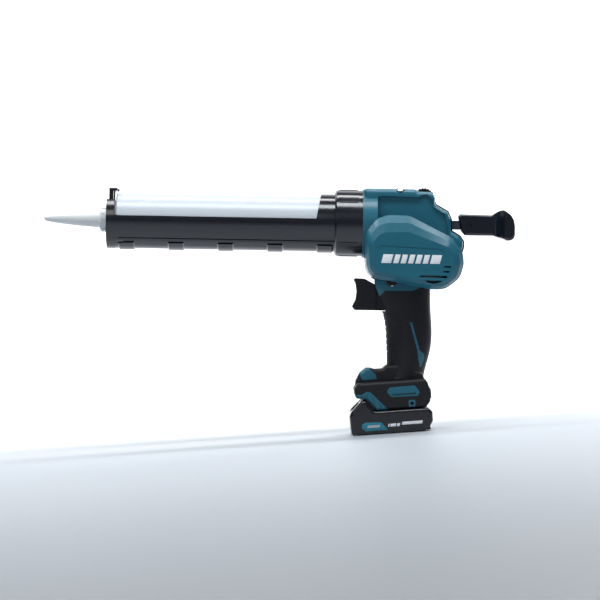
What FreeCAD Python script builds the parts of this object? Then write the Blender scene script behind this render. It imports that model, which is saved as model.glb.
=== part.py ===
"""Cordless caulking gun for 300 ml cartridges, as an assembly of separate parts.

The row frame stands on the underside of the battery: z = 0 is the table, -X is the way the nozzle
points, +Y is the tool's right-hand side. The barrel is nose-up to the foot by barrel_tilt, so the
parts of the head are drawn in a head frame (x along the barrel axis, z up from it) and placed with
head_placement(); the foot and the battery are drawn in the row frame itself.
"""
import FreeCAD, Part
import math
import os
import re
import Sketcher

V = FreeCAD.Vector
Y_AXIS = V(0, 1, 0)
doc = FreeCAD.newDocument("caulking_gun")

# ---------------------------------------------------------------- driving dimensions (mm, degrees)
SIZES = {
    # pose of the barrel over the foot
    "barrel_height": 201.0,
    "barrel_tilt": 5.0,
    # cartridge and nozzle
    "cartridge_radius": 26.0,
    "cartridge_wall": 1.4,
    "cartridge_length": 215.0,
    "cartridge_rear": -50.0,
    "neck_radius": 8.5,
    "neck_length": 15.0,
    "nozzle_flange": 11.7,
    "nozzle_length": 56.0,
    "nozzle_root": 8.2,
    "nozzle_tip": 1.9,
    "nozzle_wall": 1.2,
    "plunger_depth": 12.0,
    # holder
    "holder_gap": 0.3,
    "holder_wall": 1.6,
    "rib_height": 0.7,
    "front_plate": 8.6,
    "front_bar": 4.0,
    "sleeve_length": 30.0,
    "flange_rise": 1.8,
    "flange_width": 3.0,
    # locking collar and socket
    "collar_front": -53.8,
    "collar_rear": -27.2,
    "collar_wall": 1.7,
    "running_gap": 0.3,
    # rack, pinion and gears
    "rack_height": 8.6,
    "rack_width": 8.0,
    "rack_module": 1.25,
    "travel_rest": 11.0,
    "rack_rear": 92.0,
    "push_plate": 6.0,
    "push_gap": 1.0,
    "pinion_teeth": 18,
    "pinion_x": 5.0,
    "idler_angle": -61.4,
    "output_angle": -2.1,
    "gear_module": 1.0,
    "drive_teeth": 40,
    "idler_teeth": 30,
    "small_teeth": 14,
    "pressure_angle": 25.0,
    "backlash": 0.16,
    "gear_width": 5.0,
    "shaft_radius": 3.0,
    "stud_radius": 2.5,
    "bearing_gap": 0.05,
    "frame_plate": 2.5,
    "frame_side": 2.5,
    # motor
    "gearbox_radius": 18.0,
    "gearbox_length": 22.5,
    "motor_radius": 15.0,
    "motor_length": 26.0,
    "motor_wall": 1.2,
    # casing
    "casing_wall": 2.5,
    "head_half_width": 23.5,
    "panel_depth": 3.0,
    "motor_room": 0.9,
    "ring_wall": 3.2,
    "grip_skin": 2.0,
    "foot_half_width": 29.5,
    # pull handle
    "bar_half_width": 7.5,
    "head_bar_half": 22.0,
    # trigger
    "trigger_half_width": 8.5,
    "trigger_travel": 6.0,
    "trigger_gap": 0.5,
    # battery
    "battery_wall": 1.5,
    "cell_side_room": 2.06,
    "cell_radius": 9.1,
    "cell_length": 65.0,
    "rail_gap": 0.4,
    "tongue_half": 18.0,
    "tongue_neck": 14.0,
    # fasteners
    "screw_radius": 1.6,
    "screw_head": 3.0,
    "hook_thread": 1.65,
}
sheet = doc.addObject("Spreadsheet::Sheet", "Sizes")
for row, (alias, number) in enumerate(SIZES.items(), 1):
    sheet.set(f"A{row}", alias)
    sheet.set(f"B{row}", str(number))
    sheet.setAlias(f"B{row}", alias)
doc.recompute()


class Sizes:
    """The sheet's values, read by name, for the shapes that are worked out in this file."""

    def __getattr__(self, alias):
        return float(sheet.get(alias))


S = Sizes()
NODES = []


def linked(text):
    """An expression with each alias written as a reference to the sheet."""
    def reference(found):
        alias = found.group()
        return f"Sizes.{alias}" if alias in SIZES else alias

    return re.sub(r"[a-z][a-z_]+", reference, text)


def bind(item, **expressions):
    for name, text in expressions.items():
        item.setExpression(name.replace("__", "."), linked(text))
    return item


def head_placement():
    return FreeCAD.Placement(V(0, 0, S.barrel_height), FreeCAD.Rotation(Y_AXIS, S.barrel_tilt))


def in_head(item):
    """Places a parametric object with the barrel, bound to the height and the tilt."""
    item.Placement = head_placement()
    bind(item, Placement__Base__z="barrel_height", Placement__Rotation__Angle="barrel_tilt")
    return item


def node(item, label):
    """Marks an object as a finished sub-part. Its Label names its file."""
    item.Label = label
    NODES.append(item)
    return item


def feature(label, shape, head=True):
    """A sub-part whose shape is worked out here."""
    item = doc.addObject("Part::Feature", label)
    item.Shape = shape.removeSplitter() if shape.ShapeType != "Compound" else shape
    if head:
        item.Placement = head_placement()
    return node(item, label)


# ---------------------------------------------------------------- sketch-based bodies
def outline_sketch(body, points, offset=None):
    """A closed outline on the body's XZ plane. Each corner is held by two bound distances."""
    sketch = body.newObject("Sketcher::SketchObject", body.Name + "_outline")
    plane = next(f for f in body.Origin.OriginFeatures if f.Role == "XZ_Plane")
    sketch.AttachmentSupport = [(plane, "")]
    sketch.MapMode = "FlatFace"
    if offset:
        sketch.setExpression("AttachmentOffset.Base.z", linked(offset))
    corners = [V(number_of(x), number_of(z), 0) for x, z in points]
    count = len(corners)
    for i in range(count):
        sketch.addGeometry(Part.LineSegment(corners[i], corners[(i + 1) % count]))
    for i in range(count):
        sketch.addConstraint(Sketcher.Constraint("Coincident", i, 2, (i + 1) % count, 1))
    for i, (x, z) in enumerate(points):
        for kind, text in (("DistanceX", x), ("DistanceY", z)):
            held = sketch.addConstraint(Sketcher.Constraint(kind, -1, 1, i, 1, number_of(text)))
            sketch.setExpression(f"Constraints[{held}]", linked(text))
    return sketch


def number_of(text):
    """The value of a sum of aliases and plain numbers, such as 'a + b - 2'."""
    total, sign = 0.0, 1.0
    for part in text.replace("-", " - ").replace("+", " + ").split():
        if part in "+-":
            sign = 1.0 if part == "+" else -1.0
            continue
        product = 1.0
        for factor in part.split("*"):
            product *= float(sheet.get(factor)) if factor in SIZES else float(factor)
        total += sign * product
        sign = 1.0
    return total


def turned(label, points, head=True):
    """A body of revolution about the x axis, from an outline of (x, radius)."""
    body = doc.addObject("PartDesign::Body", label)
    sketch = outline_sketch(body, points)
    turn = body.newObject("PartDesign::Revolution", label + "_turn")
    turn.Profile = sketch
    turn.ReferenceAxis = (sketch, ["H_Axis"])
    turn.Angle = 360
    sketch.Visibility = False
    if head:
        in_head(body)
    return node(body, label)


# ---------------------------------------------------------------- plain shapes
def cylinder(axis, centre, low, high, radius):
    """A cylinder along x, y or z from low to high on that axis. centre gives the other two."""
    direction = {"x": V(1, 0, 0), "y": V(0, 1, 0), "z": V(0, 0, 1)}[axis]
    a, b = centre
    base = {"x": V(low, a, b), "y": V(a, low, b), "z": V(a, b, low)}[axis]
    return Part.makeCylinder(radius, high - low, base, direction)


def ring(axis, centre, low, high, outer, inner):
    return cylinder(axis, centre, low, high, outer).cut(cylinder(axis, centre, low - 1, high + 1, inner))


def block(x_low, x_high, y_low, y_high, z_low, z_high):
    return Part.makeBox(x_high - x_low, y_high - y_low, z_high - z_low, V(x_low, y_low, z_low))


def polygon_xz(points, y):
    return Part.makePolygon([V(x, y, z) for x, z in points] + [V(points[0][0], y, points[0][1])])


def prism(points, y_low, y_high, inset=0.0):
    """A prism across the tool from a side outline, taken in by inset."""
    wire = polygon_xz(points, y_low)
    if inset:
        wire = wire.makeOffset2D(-inset, 2)
    return Part.Face(wire).extrude(V(0, y_high - y_low, 0))


def prism_along_x(points, x_low, x_high, inset=0.0):
    """A prism along the tool from a front outline of (y, z), taken in by inset."""
    corners = [V(x_low, y, z) for y, z in points]
    wire = Part.makePolygon(corners + corners[:1])
    if inset:
        wire = wire.makeOffset2D(-inset, 2)
    return Part.Face(wire).extrude(V(x_high - x_low, 0, 0))


def rounded(shape, radius, keep):
    """The shape with the edges that keep() chooses rounded."""
    return shape.makeFillet(radius, [e for e in shape.Edges if keep(e)])


def mirrored(shape):
    return shape.mirror(V(0, 0, 0), Y_AXIS)


def to_head(shape):
    """A shape drawn in the row frame, as the head frame sees it."""
    moved = shape.copy()
    moved.Placement = head_placement().inverse().multiply(moved.Placement)
    return moved


def screw(head_at, direction, length):
    """A pan head screw: head_at is the underside of the head, direction the way it is driven."""
    shank = Part.makeCylinder(S.screw_radius, length, head_at, direction)
    cap = Part.makeCylinder(S.screw_head, 2.0, head_at, direction * -1)
    return shank.fuse(cap)


# ---------------------------------------------------------------- gears
def involute(base, radius):
    """Polar angle of the involute of a base circle where it reaches radius."""
    roll = math.sqrt(max(0.0, (radius / base) ** 2 - 1))
    return roll - math.atan(roll)


def gear(teeth, module, centre, y_low, y_high, tooth_at, bore=0.0):
    """An involute spur gear across the tool. tooth_at is the angle of a tooth's middle, radians."""
    pitch, tip, root = teeth * module / 2, (teeth / 2 + 1) * module, (teeth / 2 - 1.25) * module
    alpha = math.radians(S.pressure_angle)
    base = pitch * math.cos(alpha)
    half = (math.pi * module / 2 - S.backlash) / (2 * pitch)
    low = max(base, root)
    steps = 4
    flank = []
    for i in range(steps + 1):
        r = low + (tip - low) * i / steps
        flank.append((r, half + involute(base, pitch) - involute(base, r)))

    def at(r, angle):
        return V(centre[0] + r * math.cos(angle), y_low, centre[1] + r * math.sin(angle))

    edges = []
    step = 2 * math.pi / teeth
    for i in range(teeth):
        middle = tooth_at + i * step
        rise = [at(r, middle - a) for r, a in flank]
        fall = [at(r, middle + a) for r, a in reversed(flank)]
        foot = flank[0][1]
        start, end = at(root, middle - foot), at(root, middle + foot)
        if (rise[0] - start).Length > 1e-3:
            edges.append(Part.LineSegment(start, rise[0]).toShape())
        for points in (rise, fall):
            curve = Part.BSplineCurve()
            curve.interpolate(points)
            if points is fall:
                edges.append(Part.Arc(rise[-1], at(tip, middle), fall[0]).toShape())
            edges.append(curve.toShape())
        if (fall[-1] - end).Length > 1e-3:
            edges.append(Part.LineSegment(fall[-1], end).toShape())
        following = at(root, middle + step - foot)
        edges.append(Part.Arc(end, at(root, middle + step / 2), following).toShape())
    wire = Part.Wire(Part.__sortEdges__(edges))
    solid = Part.Face(wire).extrude(V(0, y_high - y_low, 0))
    if bore:
        solid = solid.cut(cylinder("y", centre, y_low - 1, y_high + 1, bore))
    return solid


def phase_facing(angle, teeth, gap):
    """tooth_at for a gear that shows a tooth, or a gap, in the direction angle."""
    return angle + (math.pi / teeth if gap else 0.0)


# Places of the gear centres in the head frame. The driven pinion is under the rack, with the idler
# and the gearbox's output behind and below it.
RACK_PITCH_Z = -S.rack_height / 2 + S.rack_module
PINION_R = S.pinion_teeth * S.rack_module / 2
PINION = (S.pinion_x, RACK_PITCH_Z - PINION_R)
DRIVE_TO_IDLER = (S.drive_teeth + S.small_teeth) * S.gear_module / 2
IDLER_TO_OUTPUT = (S.idler_teeth + S.small_teeth) * S.gear_module / 2


def away(a, distance, degrees):
    """The point at a distance from a, in a direction counted up from +x."""
    angle = math.radians(degrees)
    return a[0] + distance * math.cos(angle), a[1] + distance * math.sin(angle)


IDLER = away(PINION, DRIVE_TO_IDLER, S.idler_angle)
OUTPUT = away(IDLER, IDLER_TO_OUTPUT, S.output_angle)


def bearing_of(a, b):
    return math.atan2(b[1] - a[1], b[0] - a[0])


# Layers across the tool, from the left frame plate outwards (negative y is the left side).
FRAME_GAP = S.rack_width + 2 * S.frame_side
PLATE_IN = -FRAME_GAP / 2
PLATE_OUT = PLATE_IN - S.frame_plate
DRIVE_Y = (PLATE_OUT - 2.6 - S.gear_width, PLATE_OUT - 2.6)
IDLER_Y = (DRIVE_Y[0] - 1.0 - S.gear_width, DRIVE_Y[0] - 1.0)

HOLDER_IN = S.cartridge_radius + S.holder_gap
HOLDER_OUT = HOLDER_IN + S.holder_wall
CARTRIDGE_FRONT = S.cartridge_rear - S.cartridge_length
RACK_TRAVEL = S.cartridge_length - S.travel_rest
FLANGE_R = HOLDER_OUT + S.flange_rise
LIP_X = S.collar_front + 9.0
FLANGE_X = LIP_X + 0.3
SOCKET_X = FLANGE_X + S.flange_width + 0.4
SOCKET_R = FLANGE_R + 0.3
COLLAR_IN = SOCKET_R + S.running_gap
COLLAR_R = COLLAR_IN + S.collar_wall
FRONT_RING = SOCKET_R + S.ring_wall
SLEEVE_FRONT = FLANGE_X + S.flange_width - S.sleeve_length


# ---------------------------------------------------------------- cartridge
def build_cartridge():
    front, wall, radius = "cartridge_rear - cartridge_length", "cartridge_wall", "cartridge_radius"
    turned("cartridge_tube", [
        (f"{front} - neck_length", "neck_radius"),
        (front, "neck_radius"),
        (front, f"{radius} - 1.5"),
        (f"{front} + 1.5", radius),
        ("cartridge_rear", radius),
        ("cartridge_rear", f"{radius} - {wall}"),
        (f"{front} + 2", f"{radius} - {wall}"),
        (f"{front} + 2", "neck_radius - 2.5"),
        (f"{front} - neck_length", "neck_radius - 2.5"),
    ])
    inner = f"{radius} - {wall} - 0.25"
    turned("cartridge_plunger", [
        (f"{front} + 2.6", "0"),
        (f"{front} + 2.6", f"{inner} - 2"),
        (f"{front} + 4.6", inner),
        (f"{front} + 2.6 + plunger_depth", inner),
        (f"{front} + 2.6 + plunger_depth", f"{inner} - 1.6"),
        (f"{front} + 5.6", f"{inner} - 1.6"),
        (f"{front} + 5.6", "0"),
    ])


def build_nozzle():
    """A hollow ogive, screwed over the neck, with its tip cut off on a slant."""
    seat = CARTRIDGE_FRONT - 8.6
    tip = seat - S.nozzle_length - 7.0
    cone = seat - 7.5
    span = cone - tip
    share = ((0.0, 0.0), (0.14, 0.28), (0.28, 0.46), (0.52, 0.70), (0.78, 0.89), (1.0, 1.0))

    def walls(offset):
        swell = S.nozzle_root - S.nozzle_tip
        return [(tip + span * t, S.nozzle_tip + swell * r - offset) for t, r in share]

    outer = [V(x, 0, r) for x, r in walls(0.0)]
    bore = S.neck_radius + 0.2
    flange = S.nozzle_flange
    body = outer + [V(cone, 0, flange - 1.6), V(cone + 0.8, 0, flange), V(seat, 0, flange)]
    hollow = [V(seat, 0, bore), V(cone + 0.4, 0, bore)]
    hollow += [V(x, 0, max(r, 0.7)) for x, r in reversed(walls(S.nozzle_wall))]
    loop = body + hollow
    face = Part.Face(Part.makePolygon(loop + loop[:1]))
    shape = face.revolve(V(0, 0, 0), V(1, 0, 0), 360)
    slant = block(tip - 10, tip + 1.2, -10, 10, -10, 10)
    slant.rotate(V(tip + 1.2, 0, 0), Y_AXIS, -28)
    shape = shape.cut(slant)
    for i in range(12):
        rib = block(cone + 1.6, seat - 0.4, -0.5, 0.5, S.nozzle_flange - 0.4, S.nozzle_flange + 0.5)
        rib.rotate(V(0, 0, 0), V(1, 0, 0), 30 * i)
        shape = shape.fuse(rib)
    feature("nozzle", shape)


# ---------------------------------------------------------------- holder
def side_rail(angle, width, x_low, x_high, rise):
    """A rail along the trough, centred on an angle below the horizontal, on the left side."""
    rail = block(x_low, x_high, -width / 2, width / 2, HOLDER_OUT - 0.6, HOLDER_OUT + rise)
    rail.rotate(V(0, 0, 0), V(1, 0, 0), 90 + angle)
    return rail


def build_holder():
    front = CARTRIDGE_FRONT - 1.0
    rear = FLANGE_X + S.flange_width
    shell = ring("x", (0, 0), front, rear, HOLDER_OUT, HOLDER_IN)
    mouth = prism([(front - 1, 3.2), (SLEEVE_FRONT, 3.2), (SLEEVE_FRONT + 4.6, 30),
                   (SLEEVE_FRONT + 4.6, 60), (front - 1, 60)], -40, 40)
    shape = shell.cut(mouth)
    rails = []
    for angle, width in ((1.0, 2.4), (43.0, 2.4)):
        rail = side_rail(angle, width, front + 4, LIP_X - 9.2, S.rib_height)
        rails += [rail, mirrored(rail)]
    pads = []
    first, length, count = front + 3.0, 17.2, 5
    period = (S.collar_front - 0.8 - length - first) / (count - 1)
    fan = [(0, 0), (-30, -38), (30, -38)]
    for i in range(count):
        x = first + period * i
        profile = [V(x, 0, HOLDER_OUT - 0.6), V(x + 1.8, 0, HOLDER_OUT + 1.3),
                   V(x + length - 1.8, 0, HOLDER_OUT + 1.3), V(x + length, 0, HOLDER_OUT - 0.6)]
        band = Part.Face(Part.makePolygon(profile + profile[:1])).revolve(V(0, 0, 0), V(1, 0, 0), 360)
        pads.append(band.common(prism_along_x(fan, x, x + length)))
    bore = cylinder("x", (0, 0), front - 5, rear + 5, HOLDER_IN)
    added = Part.makeCompound([]).fuse(rails + pads)
    top = block(front - 9, SLEEVE_FRONT + 60, -60, 60, 3.2, 60)
    shape = shape.fuse(added.cut(bore).cut(top).Solids)
    shape = shape.fuse(ring("x", (0, 0), FLANGE_X, rear, FLANGE_R, HOLDER_IN))
    for side in (-1, 1):
        low, high = sorted((side * 5, side * 40))
        slot = block(front + 3.2, front + 9.0, low, high, -23.6, -20.9)
        shape = shape.cut(slot)
    feature("holder_trough", shape)


def build_front_plate():
    """The end stop: a U plate around the cartridge's neck, with a thin bar and a hook over the top."""
    rear = CARTRIDGE_FRONT - 1.0
    front = rear - S.front_plate + 1.0
    radius = HOLDER_OUT + 0.4
    disc = cylinder("x", (0, 0), front, rear, radius)
    disc = disc.cut(block(front - 1, rear + 1, -40, 40, 18.7, 60))
    neck_slot = S.neck_radius + 0.6
    slot = cylinder("x", (0, 0), front - 1, rear + 1, neck_slot)
    slot = slot.fuse(block(front - 1, rear + 1, -neck_slot, neck_slot, 0, 60))
    bar_front = front + 2.0
    for side in (-1, 1):
        low, high = sorted((side * (neck_slot + 0.01), side * (neck_slot + 6.0)))
        post = block(bar_front, bar_front + S.front_bar, low, high, 10, radius + 1.5)
        hook = block(bar_front, bar_front + 8.0, low, high, radius - 0.9, radius + 1.5)
        disc = disc.fuse([post, hook])
    disc = disc.cut(slot)
    shape = disc
    for side in (-1, 1):
        boss = cylinder("x", (side * 19.0, -9.0), front - 0.6, front + 0.5, 3.6)
        shape = shape.fuse(boss)
        shape = shape.cut(cylinder("x", (side * 19.0, -9.0), front - 2, rear + 1, S.screw_radius + 0.1))
        recess = cylinder("x", (side * 19.0, -9.0), front - 2, front + 1.6, S.screw_head + 0.2)
        shape = shape.cut(recess)
    feature("holder_front_plate", shape)
    screws = [screw(V(front + 1.6, side * 19.0, -9.0), V(1, 0, 0), 5.6) for side in (-1, 1)]
    screws = [s.cut(cylinder("x", (0, 0), -400, 0, S.neck_radius)) for s in screws]
    feature("front_plate_screws", Part.makeCompound(screws))


def build_collar():
    """The ring that clamps the holder's flange to the socket, with shallow grip pads around it."""
    lip_in = HOLDER_OUT + S.rib_height + S.running_gap
    outer = COLLAR_R
    shape = ring("x", (0, 0), S.collar_front, S.collar_rear, outer, COLLAR_IN)
    shape = shape.fuse(ring("x", (0, 0), S.collar_front, LIP_X, outer, lip_in))
    bevel = Part.makeCone(outer - 2.0, outer, 1.6, V(S.collar_front, 0, 0), V(1, 0, 0))
    whole = cylinder("x", (0, 0), S.collar_front + 1.6, S.collar_rear, outer + 5)
    shape = shape.common(whole.fuse(bevel))
    pads = []
    for i in range(8):
        pad = ring("x", (0, 0), S.collar_front + 4.0, S.collar_rear - 4.5, outer + 0.5, outer - 0.5)
        wedge = prism_along_x([(0, 0), (60, -9), (60, 9)], S.collar_front, S.collar_rear)
        pad = pad.common(wedge)
        pad.rotate(V(0, 0, 0), V(1, 0, 0), 45 * i)
        pads.append(pad)
    shape = shape.fuse(pads)
    feature("lock_collar", shape)


def build_socket():
    """The fixed ring that the holder turns against. It carries the front guide of the rack."""
    shape = cylinder("x", (0, 0), SOCKET_X, S.collar_rear + 5.0, SOCKET_R)
    recess = S.cartridge_radius - S.cartridge_wall + 0.2
    floor = SOCKET_X + 5.0
    shape = shape.cut(cylinder("x", (0, 0), SOCKET_X - 1, floor, recess))
    shape = shape.cut(block(-80, 0, -rack_hole("y"), rack_hole("y"), -rack_hole("z"), rack_hole("z")))
    shape = shape.cut(cylinder("x", (0, 0), SOCKET_X - 1, S.collar_rear - 3.3, 9.8))
    places = [(math.cos(a) * (SOCKET_R - 9.4), math.sin(a) * (SOCKET_R - 9.4)) for a in
              (math.radians(60 + 60 * i) for i in (0, 1, 3, 4))]
    screws = []
    for y, z in places:
        shape = shape.cut(cylinder("x", (y, z), -80, 0, S.screw_radius + 0.1))
        screws.append(screw(V(floor, y, z), V(1, 0, 0), 12.0))
    feature("front_socket", shape)
    return screws


def rack_hole(way):
    """Half the opening that the rack slides through, with its clearance."""
    return (S.rack_width if way == "y" else S.rack_height) / 2 + S.running_gap


# ---------------------------------------------------------------- rack and pull handle
def build_rack():
    front = CARTRIDGE_FRONT + 2.6 + S.plunger_depth + S.push_gap
    plate_rear = front + S.push_plate
    half = S.rack_height / 2
    pitch = math.pi * S.rack_module
    slope = math.tan(math.radians(S.pressure_angle))
    gap_half = pitch / 4 + S.backlash / 2
    bar = block(plate_rear - 3.0, S.rack_rear, -S.rack_width / 2, S.rack_width / 2, -half, half)
    tip_z, root_z = -half, RACK_PITCH_Z + 1.25 * S.rack_module
    gaps = []
    first = S.pinion_x - pitch * round((RACK_TRAVEL + 3 * pitch) / pitch)
    count = int(round((S.pinion_x + 6 * pitch - first) / pitch))
    for i in range(count):
        x = first + pitch * i
        wide = gap_half + (RACK_PITCH_Z - tip_z) * slope + 0.05 * slope
        narrow = gap_half - (root_z - RACK_PITCH_Z) * slope
        gaps.append(prism([(x - wide, tip_z - 0.05), (x + wide, tip_z - 0.05), (x + narrow, root_z),
                           (x - narrow, root_z)], -S.rack_width, S.rack_width))
    shape = bar.cut(gaps)
    shape = shape.cut(cylinder("x", (0, 0), plate_rear - 4, plate_rear + 12, S.screw_radius))
    pin_x = S.rack_rear - 14.2
    shape = shape.cut(cylinder("y", (pin_x, 0), -20, 20, 1.55))
    feature("rack", shape)

    plate_radius = S.cartridge_radius - S.cartridge_wall - 0.9
    disc = cylinder("x", (0, 0), front, plate_rear, plate_radius)
    disc = disc.fuse(cylinder("x", (0, 0), plate_rear, plate_rear + 8.0, 9.0))
    disc = disc.cut(block(plate_rear - 3.0, plate_rear + 9, -S.rack_width / 2, S.rack_width / 2,
                          -half, half))
    disc = disc.cut(cylinder("x", (0, 0), front - 1, plate_rear, S.screw_radius))
    disc = disc.cut(cylinder("x", (0, 0), front - 1, front + 2.0, S.screw_head + 0.2))
    for i in range(6):
        angle = math.radians(60 * i)
        at = (math.cos(angle) * 16.5, math.sin(angle) * 16.5)
        disc = disc.cut(cylinder("x", at, front + 1.5, plate_rear + 1, 4.5))
    feature("push_plate", disc)
    bolt = Part.makeCylinder(S.screw_radius, 14.0, V(front + 2.0, 0, 0), V(1, 0, 0))
    bolt = bolt.fuse(cylinder("x", (0, 0), front + 0.1, front + 2.0, S.screw_head))
    feature("push_plate_screw", bolt)

    bar_side = [(65.6, 8.6), (67.4, 10.6), (103.0, 10.0), (103.0, -9.8), (72.4, -9.9), (68.6, -5.6)]
    grip = prism(bar_side, -S.bar_half_width, S.bar_half_width)
    grip = rounded(grip, 2.4, lambda e: abs(abs(e.CenterOfMass.y) - S.bar_half_width) < 0.1
                   and e.CenterOfMass.x < 102.5)
    head_side = [(97.0, 9.2), (104.6, 14.0), (109.0, 15.0), (115.8, 10.2), (118.9, 5.0), (119.8, -1.0),
                 (119.8, -10.4), (117.6, -14.0), (113.0, -15.0), (106.4, -12.0), (97.0, -8.8)]
    crown = Part.Face(soft_wire(head_side, 7.0, -S.head_bar_half)).extrude(V(0, 2 * S.head_bar_half, 0))
    crown = rounded(crown, 2.6, lambda e: abs(abs(e.CenterOfMass.y) - S.head_bar_half) < 1e-4)
    sections = [(97.0, S.bar_half_width - 0.4), (101.0, S.bar_half_width + 0.6),
                (105.0, S.bar_half_width + 5.0), (109.0, S.head_bar_half - 1.0),
                (122.0, S.head_bar_half + 3.0)]
    flare = Part.makeLoft([polygon_flare(x, half, 20.0) for x, half in sections], True, False)
    crown = crown.common(flare)
    grip = grip.fuse(crown)
    pocket = block(55, S.rack_rear + 0.5, -S.rack_width / 2, S.rack_width / 2, -half, half)
    grip = grip.cut(pocket).cut(cylinder("y", (pin_x, 0), -20, 20, 1.55))
    feature("pull_handle", grip)
    pin_half = S.bar_half_width - 0.6
    feature("pull_handle_pin", cylinder("y", (pin_x, 0), -pin_half, pin_half, 1.5))


def polygon_flare(x, half_y, half_z):
    corners = [V(x, -half_y, -half_z), V(x, half_y, -half_z), V(x, half_y, half_z), V(x, -half_y, half_z)]
    return Part.makePolygon(corners + corners[:1])


# ---------------------------------------------------------------- gear train
def build_gears():
    shaft = cylinder("y", PINION, DRIVE_Y[0] - 1.0, FRAME_GAP / 2 + S.frame_plate + 1.0, S.shaft_radius)
    tooth_up = phase_facing(math.pi / 2, int(S.pinion_teeth), gap=False)
    face = S.rack_width / 2 + 0.8
    pinion = gear(int(S.pinion_teeth), S.rack_module, PINION, -face, face, tooth_up)
    feature("pinion_shaft", pinion.fuse(shaft))

    to_idler = bearing_of(PINION, IDLER)
    drive = gear(int(S.drive_teeth), S.gear_module, PINION, DRIVE_Y[0], DRIVE_Y[1],
                 phase_facing(to_idler, int(S.drive_teeth), gap=False), bore=S.shaft_radius)
    web = ring("y", PINION, DRIVE_Y[0] - 1, DRIVE_Y[0] + 1.5, 15.5, 7.0)
    feature("drive_gear", drive.cut(web))

    bore = S.stud_radius + S.bearing_gap
    small = gear(int(S.small_teeth), S.gear_module, IDLER, IDLER_Y[1] - 0.5, DRIVE_Y[1] + 0.4,
                 phase_facing(to_idler + math.pi, int(S.small_teeth), gap=True), bore=bore)
    to_output = bearing_of(IDLER, OUTPUT)
    large = gear(int(S.idler_teeth), S.gear_module, IDLER, IDLER_Y[0], IDLER_Y[1],
                 phase_facing(to_output, int(S.idler_teeth), gap=False), bore=bore)
    feature("idler_gear", large.fuse(small))

    output = gear(int(S.small_teeth), S.gear_module, OUTPUT, IDLER_Y[0] - 0.5, IDLER_Y[1] + 0.5,
                  phase_facing(to_output + math.pi, int(S.small_teeth), gap=True))
    output = output.fuse(cylinder("y", OUTPUT, IDLER_Y[0] - 1.0, PLATE_IN + 8.0, 2.5))
    feature("output_pinion", output)

    stud = cylinder("y", IDLER, IDLER_Y[0] - 2.0, PLATE_IN, S.stud_radius)
    stud = stud.fuse(cylinder("y", IDLER, DRIVE_Y[1] + 0.7, PLATE_OUT, S.stud_radius + 1.5))
    cap = cylinder("y", IDLER, IDLER_Y[0] - 2.0, IDLER_Y[0] - 0.6, S.stud_radius + 1.5)
    feature("idler_stud", stud.fuse(cap))


SPACERS = ((-14.0, 9.2), (19.0, 9.2), (-13.0, -18.0))
ROLLER_R = 4.0


def build_frame(socket_screws):
    roller = (S.pinion_x, S.rack_height / 2 + ROLLER_R + 0.1)
    plate_left = [(-20, 14), (25, 14), (34, -6), (50, -22), (56, -32), (55, -48), (44, -56),
                  (14, -50), (-20, -24)]
    plate_right = [(-20, 14), (25, 14), (21, -26), (-20, -26)]
    gap = FRAME_GAP / 2
    left = prism(plate_left, PLATE_OUT, PLATE_IN)
    right = prism(plate_right, gap, gap + S.frame_plate)
    bush = S.shaft_radius + 2.0
    left = left.cut([cylinder("y", PINION, -40, 40, bush), cylinder("y", OUTPUT, -40, 40, 4.0),
                     cylinder("y", IDLER, -40, 40, S.stud_radius)])
    right = right.cut(cylinder("y", PINION, -40, 40, bush))
    holes = [cylinder("y", at, -40, 40, S.screw_radius) for at in SPACERS]
    holes.append(cylinder("y", roller, -40, 40, 1.5))
    feature("frame_plate_left", left.cut(holes))
    feature("frame_plate_right", right.cut(holes))
    spacers = [ring("y", at, -gap, gap, 3.4, S.screw_radius) for at in SPACERS]
    feature("frame_spacers", Part.makeCompound(spacers))
    screws = [screw(V(x, PLATE_OUT, z), V(0, 1, 0), FRAME_GAP + 2 * S.frame_plate) for x, z in SPACERS]
    feature("frame_screws", Part.makeCompound(screws + socket_screws))
    inner = S.shaft_radius + S.bearing_gap
    bushes = [ring("y", PINION, PLATE_OUT - 1.0, PLATE_IN + 0.5, bush, inner),
              ring("y", PINION, gap - 0.5, gap + S.frame_plate + 0.6, bush, inner)]
    feature("shaft_bushes", Part.makeCompound(bushes))
    feature("backing_roller", ring("y", roller, -gap + 1.5, gap - 1.5, ROLLER_R, 1.5 + S.bearing_gap))
    feature("roller_pin", cylinder("y", roller, PLATE_OUT, gap + S.frame_plate, 1.5))
    guide = block(44.0, 52.0, -9, 9, -8, 8).cut(
        block(40, 60, -rack_hole("y"), rack_hole("y"), -rack_hole("z"), rack_hole("z")))
    feature("rack_guide", guide)


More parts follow.
